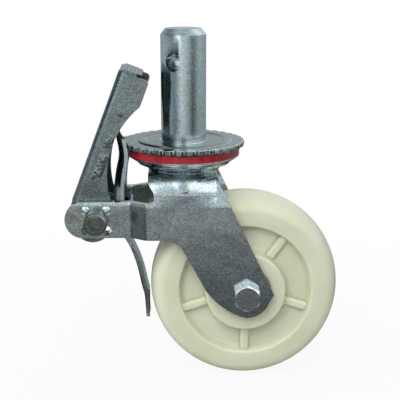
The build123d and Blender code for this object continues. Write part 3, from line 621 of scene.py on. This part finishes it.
def is_pedal_edge(face):
    """The sheared edges of the pedal's cheeks, which take the pale tone with its painted
    highlight.
    """
    return (
        abs(face.normal.y) < EDGE_ON
        and face.normal.x > PEDAL_BACK
        and abs(face.calc_center_median().y) > PEDAL_CHEEK
    )


def is_lever_edge(face):
    """The sheared edges down both sides of the lever, which take the pale tone with its painted
    highlight.
    """
    return abs(face.normal.y) > LEVER_SIDE


def is_hole_wall(face):
    """The wall of the stem's cross hole, which takes the dark tone with its painted shade."""
    middle = face.calc_center_median()
    return HOLE_LEVELS[0] < middle.z < HOLE_LEVELS[1] and middle.xy.length < HOLE_REACH


def is_tooth_side(face):
    """The upright faces of the plate's teeth, which take the bright tone with its painted
    highlight.
    """
    return (
        abs(face.normal.z) < TOOTH_UPRIGHT and face.calc_center_median().xy.length > TOOTH_FOOT
    )


# Settings


class CastorSizes(bpy.types.PropertyGroup):
    """Sizes that a user would change."""

    edge_rounding: bpy.props.FloatProperty(
        name="Edge rounding",
        description="Radius of the worn sheared edges",
        default=0.7 * MM,
        unit="LENGTH",
    )
    small_rounding: bpy.props.FloatProperty(
        name="Fastener rounding",
        description="Radius of the edges of bolts, nuts and other small pieces",
        default=0.3 * MM,
        unit="LENGTH",
    )
    thread_pitch: bpy.props.FloatProperty(
        name="Thread pitch",
        description="Pitch of the coarse 12 mm thread",
        default=1.75 * MM,
        unit="LENGTH",
    )
    thread_height: bpy.props.FloatProperty(
        name="Thread height",
        description="How far the ridge stands out of the bolt",
        default=0.35 * MM,
        unit="LENGTH",
    )


class CastorColours(bpy.types.PropertyGroup):
    """Colours as sRGB hex codes."""

    zinc_cool: bpy.props.StringProperty(
        name="Zinc, cool", description="Bluish clouds of the zinc plating", default="#B9C6CE"
    )
    zinc_mid: bpy.props.StringProperty(
        name="Zinc, plain", description="Main tone of the zinc plating", default="#BFC9CC"
    )
    zinc_warm: bpy.props.StringProperty(
        name="Zinc, warm", description="Olive clouds of the zinc plating", default="#B6BCB4"
    )
    nylon_light: bpy.props.StringProperty(
        name="Nylon, light", description="Light tone of the wheel", default="#D9DBC6"
    )
    nylon_shade: bpy.props.StringProperty(
        name="Nylon, shade", description="Darker tone of the wheel", default="#D2D3B8"
    )
    # Painted shade: the warm tone that ambient occlusion lays into the wheel's corners and recess
    # edges
    nylon_corner_shade: bpy.props.StringProperty(
        name="Nylon, corners", description="Warm tone in the wheel's corners", default="#BFBE86"
    )
    ring_light: bpy.props.StringProperty(
        name="Ring, light", description="Light tone of the dust ring", default="#A31B22"
    )
    ring_shade: bpy.props.StringProperty(
        name="Ring, shade", description="Darker tone of the dust ring", default="#86161A"
    )
    cap_brown: bpy.props.StringProperty(
        name="Cap", description="Yellow passivated caps over the bearings", default="#8C7B50"
    )


# Operators


class CASTOR_OT_sheet_parts(bpy.types.Operator):
    """Dress the fork, the pedal, the lever, the bowl and the bridge as plated sheet"""

    bl_idname = "castor.sheet_parts"
    bl_label = "Pressed sheet parts"

    def execute(self, context):
        sizes = context.scene.castor_sizes
        # The sheared edges, and on the fork and pedal their rounding too, take the pale tone with
        # its painted highlight
        sheet, sheared = FINISHES["sheet"], FINISHES["sheared"]
        dressed_copy(
            "fork", "fork_pressed", "frame", [FINISHES["fork"], sheared], sizes.edge_rounding,
            edge_test=is_fork_edge, edge_slot=1,
        )
        dressed_copy(
            "pedal", "pedal_folded", "pedal", [FINISHES["pedal"], sheared], sizes.edge_rounding,
            edge_test=is_pedal_edge, edge_slot=1,
        )
        dressed_copy(
            "brake_lever", "brake_lever_pressed", "lever", [FINISHES["lever"], sheared],
            sizes.edge_rounding, sharp=50, edge_test=is_lever_edge,
        )
        dressed_copy("race_bowl", "race_bowl_pressed", "frame", [sheet], sizes.small_rounding)
        dressed_copy("lever_bridge", "lever_bridge_plate", "frame", [sheet], sizes.small_rounding)
        return {"FINISHED"}


class CASTOR_OT_swivel_head(bpy.types.Operator):
    """Dress the stem, the toothed plate and what closes the swivel under the crown"""

    bl_idname = "castor.swivel_head"
    bl_label = "Stem and toothed plate"

    def execute(self, context):
        sizes = context.scene.castor_sizes
        # The cross hole's wall takes the hole's dark tone with its painted shade
        dressed_copy(
            "stem", "stem_turned", "head", [FINISHES["bar"], FINISHES["bore"]],
            sizes.small_rounding, edge_test=is_hole_wall,
        )
        # The teeth's upright faces and the plate's rounded edges take the bright tone with its
        # painted highlight
        dressed_copy(
            "toothed_plate", "toothed_plate_pressed", "head",
            [FINISHES["plate"], FINISHES["teeth"]], sizes.edge_rounding, sharp=28,
            edge_test=is_tooth_side, edge_slot=1,
        )
        for node in ("lower_cup", "king_washer", "king_nut"):
            dressed_copy(
                node, f"{node}_plated", "head", [FINISHES["fastener"]], sizes.small_rounding
            )
        return {"FINISHED"}


class CASTOR_OT_dust_ring(bpy.types.Operator):
    """Give the dust ring its red plastic"""

    bl_idname = "castor.dust_ring"
    bl_label = "Dust ring"

    def execute(self, context):
        dressed_copy(
            "dust_ring", "dust_ring_moulded", "frame", [FINISHES["ring"]],
            context.scene.castor_sizes.edge_rounding,
        )
        return {"FINISHED"}


class CASTOR_OT_wheel(bpy.types.Operator):
    """Dress the wheel as moulded nylon, and its bearings and caps"""

    bl_idname = "castor.wheel"
    bl_label = "Wheel"

    def execute(self, context):
        sizes = context.scene.castor_sizes
        dressed_copy("wheel", "wheel_moulded", "wheel", [FINISHES["nylon"]], sizes.edge_rounding)
        for side in ("near", "far"):
            for part in ("outer", "inner", "balls"):
                wear_finish(f"bearing_{part}_{side}", FINISHES["steel"])
            dressed_copy(
                f"dust_cap_{side}", f"dust_cap_{side}_pressed", "frame", [FINISHES["cap"]],
                sizes.small_rounding,
            )
        return {"FINISHED"}


class CASTOR_OT_fasteners(bpy.types.Operator):
    """Dress bolts, nuts, washers, sleeves, balls, plungers and spring, and wind the threads"""

    bl_idname = "castor.fasteners"
    bl_label = "Fasteners and small parts"

    def execute(self, context):
        sizes = context.scene.castor_sizes
        plated, steel = FINISHES["fastener"], FINISHES["steel"]
        for node in ("axle_bolt", "axle_washer", "axle_nut", "pivot_washer", "pivot_nut"):
            dressed_copy(
                node, f"{node}_plated", "frame", [plated], sizes.small_rounding, sharp=18
            )
        dressed_copy(
            "pivot_screw", "pivot_screw_oxided", "frame", [FINISHES["screw"]],
            sizes.small_rounding, sharp=18,
        )
        for node in ("axle_sleeve", "bearing_spacer", "pivot_sleeve", "guide_rivets"):
            wear_finish(node, plated)
        spring = dressed_copy("return_spring", "return_spring_bow", "frame", [steel], 0)
        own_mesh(spring)
        wear_finish("upper_balls", steel)
        wear_finish("lower_balls", steel)
        # The plungers take the bright tone with its painted highlight
        dressed_copy(
            "detent_plungers", "detent_plungers_pressed", "frame", [FINISHES["teeth"]],
            sizes.small_rounding / 3, sharp=18,
        )
        for name in ("axle", "pivot"):
            low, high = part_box(f"{name}_nut")
            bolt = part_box("axle_bolt" if name == "axle" else "pivot_screw")
            centre = ((low.x + high.x) / 2, 0, (low.z + high.z) / 2)
            thread_ridge(
                f"{name}_thread", centre, high.y, bolt[1].y - BOLT_TIP, BOLT_RADIUS,
                sizes, plated, "frame",
            )
        return {"FINISHED"}


class CASTOR_OT_stage(bpy.types.Operator):
    """Set the floor, the lamps, the surroundings and the camera"""

    bl_idname = "castor.stage"
    bl_label = "Stage"

    def execute(self, context):
        scene = context.scene
        scene.view_settings.view_transform = "Standard"
        build_world(scene)
        build_surroundings()
        build_floor(CAD_BOX[0].z)
        build_lamps()
        build_camera(scene)
        return {"FINISHED"}


# Stage


def seen_directly(tree):
    """1 for the rays that show the background itself: camera, glossy and transmission rays."""
    path = add_node(tree, "ShaderNodeLightPath").outputs
    clear = math_node(tree, "MAXIMUM", path["Is Camera Ray"], path["Is Transmission Ray"])
    return math_node(tree, "MAXIMUM", clear, path["Is Glossy Ray"])


def stage_object(name, bm, material):
    """An object of the studio from a bmesh."""
    mesh = bpy.data.meshes.new(name)
    bm.to_mesh(mesh)
    bm.free()
    mesh.materials.append(material)
    item = bpy.data.objects.new(name, mesh)
    bpy.context.scene.collection.objects.link(item)
    return item


def build_world(scene):
    """White behind the object, and a soft pale light from all round."""
    world = bpy.data.worlds.new("studio_air")
    world.use_nodes = True
    tree = world.node_tree
    tree.nodes.clear()
    air = add_node(tree, "ShaderNodeBackground", {"Color": linear(AIR), "Strength": AIR_STRENGTH})
    white = add_node(tree, "ShaderNodeBackground", {"Color": (1, 1, 1, 1), "Strength": 1.0})
    mixed = add_node(
        tree,
        "ShaderNodeMixShader",
        {"Fac": seen_directly(tree), 1: air.outputs["Background"], 2: white.outputs["Background"]},
    )
    add_node(tree, "ShaderNodeOutputWorld", {"Surface": mixed.outputs["Shader"]})
    scene.world = world


def panel_ramp(tree, bearing, panels):
    """The tones of a room's panels over all bearings, with the back wall behind."""
    stops = [(0.0, BACK_WALL)]
    for first, last, tone in panels:
        stops += [((first + 180) / 360, tone), ((last + 180) / 360, tone)]
    return ramp(tree, bearing, stops + [(1.0, BACK_WALL)])


def build_surroundings():
    """A dome that only reflections see: pale lights either side of a dim front, and a dim room."""
    material, tree, place = new_material("surroundings")
    direction = add_node(tree, "ShaderNodeVectorMath", {0: place}, operation="NORMALIZE")
    parts = add_node(tree, "ShaderNodeSeparateXYZ", {"Vector": direction.outputs["Vector"]})
    up = parts.outputs["Z"]
    front = math_node(tree, "MULTIPLY", parts.outputs["Y"], -1.0)
    turn = math_node(tree, "ARCTAN2", parts.outputs["X"], front)
    bearing = map_range(tree, turn, -pi, pi)
    low, high = (panel_ramp(tree, bearing, room) for room in (LOW_ROOM, HIGH_ROOM))
    heights = [((sin(radians(lift)) + 1) / 2, code) for lift, code in LOW_HEIGHTS]
    dimmed = ramp(tree, map_range(tree, up, -1.0, 1.0), heights)
    low = mix_colours(tree, 1.0, low, dimmed, "MULTIPLY")
    pole = map_range(tree, math_node(tree, "ABSOLUTE", up), *POLE_STEEP)
    high = mix_colours(tree, pole, high, linear(POLE))
    raised = map_range(tree, up, *(sin(radians(lift)) for lift in HIGH_HEIGHTS))
    light = add_node(
        tree,
        "ShaderNodeEmission",
        {
            "Color": mix_colours(tree, raised, low, high),
            "Strength": map_range(tree, raised, 0.0, 1.0, 1.0, HIGH_GLOW),
        },
    )
    finish_material(material, tree, light.outputs["Emission"])
    bm = bmesh.new()
    bmesh.ops.create_uvsphere(bm, u_segments=48, v_segments=24, radius=DOME_RADIUS)
    dome = stage_object("surroundings", bm, material)
    dome.visible_camera = False
    dome.visible_diffuse = False
    dome.visible_shadow = False
    dome.visible_transmission = False
    dome.visible_volume_scatter = False


def build_floor(level):
    """A plain pale floor that the camera sees as almost white, with the castor's soft shadow."""
    material, tree, place = new_material("pale_floor")
    paper = add_node(tree, "ShaderNodeBsdfDiffuse", {"Color": linear(PAPER)})
    glow = add_node(tree, "ShaderNodeEmission", {"Color": (1, 1, 1, 1), "Strength": 1.0})
    reach = add_node(
        tree, "ShaderNodeVectorMath", {0: place}, operation="LENGTH"
    ).outputs["Value"]
    white = map_range(tree, reach, *FLOOR_REACH, *FLOOR_WHITE)
    share = math_node(tree, "MULTIPLY", seen_directly(tree), white)
    mixed = add_node(
        tree,
        "ShaderNodeMixShader",
        {"Fac": share, 1: paper.outputs["BSDF"], 2: glow.outputs["Emission"]},
    )
    finish_material(material, tree, mixed.outputs["Shader"])
    bm = bmesh.new()
    bmesh.ops.create_grid(bm, x_segments=1, y_segments=1, size=FLOOR_SIZE)
    bmesh.ops.translate(bm, verts=bm.verts, vec=(0, 0, level - FLOOR_GAP))
    floor = stage_object("floor", bm, material)
    floor.visible_glossy = False


def build_lamps():
    """Large soft lamps: one over the camera, one on the left, one from behind above."""
    for name, (place, size, power, code) in LAMPS.items():
        lamp = bpy.data.lights.new(name, "AREA")
        lamp.shape = "SQUARE"
        lamp.size = size
        lamp.energy = power
        lamp.color = linear(code)[:3]
        holder = bpy.data.objects.new(name, lamp)
        holder.location = place
        aim = Vector(LAMP_AIM) - Vector(place)
        holder.rotation_euler = aim.to_track_quat("-Z", "Y").to_euler()
        holder.visible_glossy = False
        bpy.context.scene.collection.objects.link(holder)


def build_camera(scene):
    """The camera at the place the photograph was taken from."""
    data = bpy.data.cameras.new("camera")
    data.lens = CAMERA_LENS
    data.sensor_width = SENSOR_WIDTH
    holder = bpy.data.objects.new("camera", data)
    holder.location = CAMERA_PLACE
    aim = Vector(CAMERA_AIM) - holder.location
    holder.rotation_euler = aim.to_track_quat("-Z", "Y").to_euler()
    scene.collection.objects.link(holder)
    scene.camera = holder


# Add-on


class CASTOR_PT_panel(bpy.types.Panel):
    """The castor's settings and steps"""

    bl_idname = "CASTOR_PT_panel"
    bl_label = "Scaffold castor"
    bl_space_type = "VIEW_3D"
    bl_region_type = "UI"
    bl_category = "Castor"

    def draw(self, context):
        for group in (context.scene.castor_sizes, context.scene.castor_colours):
            for name in group.__annotations__:
                self.layout.prop(group, name)
        for step in STEPS:
            self.layout.operator(step.bl_idname)


STEPS = (
    CASTOR_OT_sheet_parts,
    CASTOR_OT_swivel_head,
    CASTOR_OT_dust_ring,
    CASTOR_OT_wheel,
    CASTOR_OT_fasteners,
    CASTOR_OT_stage,
)
CLASSES = (CastorSizes, CastorColours, *STEPS, CASTOR_PT_panel)


def register():
    """Registers the classes and hangs the settings on the scene."""
    for item in CLASSES:
        bpy.utils.register_class(item)
    bpy.types.Scene.castor_sizes = bpy.props.PointerProperty(type=CastorSizes)
    bpy.types.Scene.castor_colours = bpy.props.PointerProperty(type=CastorColours)


def unregister():
    """Takes the settings and the classes away again."""
    del bpy.types.Scene.castor_colours
    del bpy.types.Scene.castor_sizes
    for item in reversed(CLASSES):
        bpy.utils.unregister_class(item)


def main():
    """Dresses the castor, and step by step."""
    register()
    make_finishes(bpy.context.scene.castor_colours)
    bpy.ops.castor.sheet_parts()
    bpy.ops.castor.swivel_head()
    bpy.ops.castor.dust_ring()
    bpy.ops.castor.wheel()
    bpy.ops.castor.fasteners()
    bpy.ops.castor.stage()


if __name__ == "__main__":
    main()
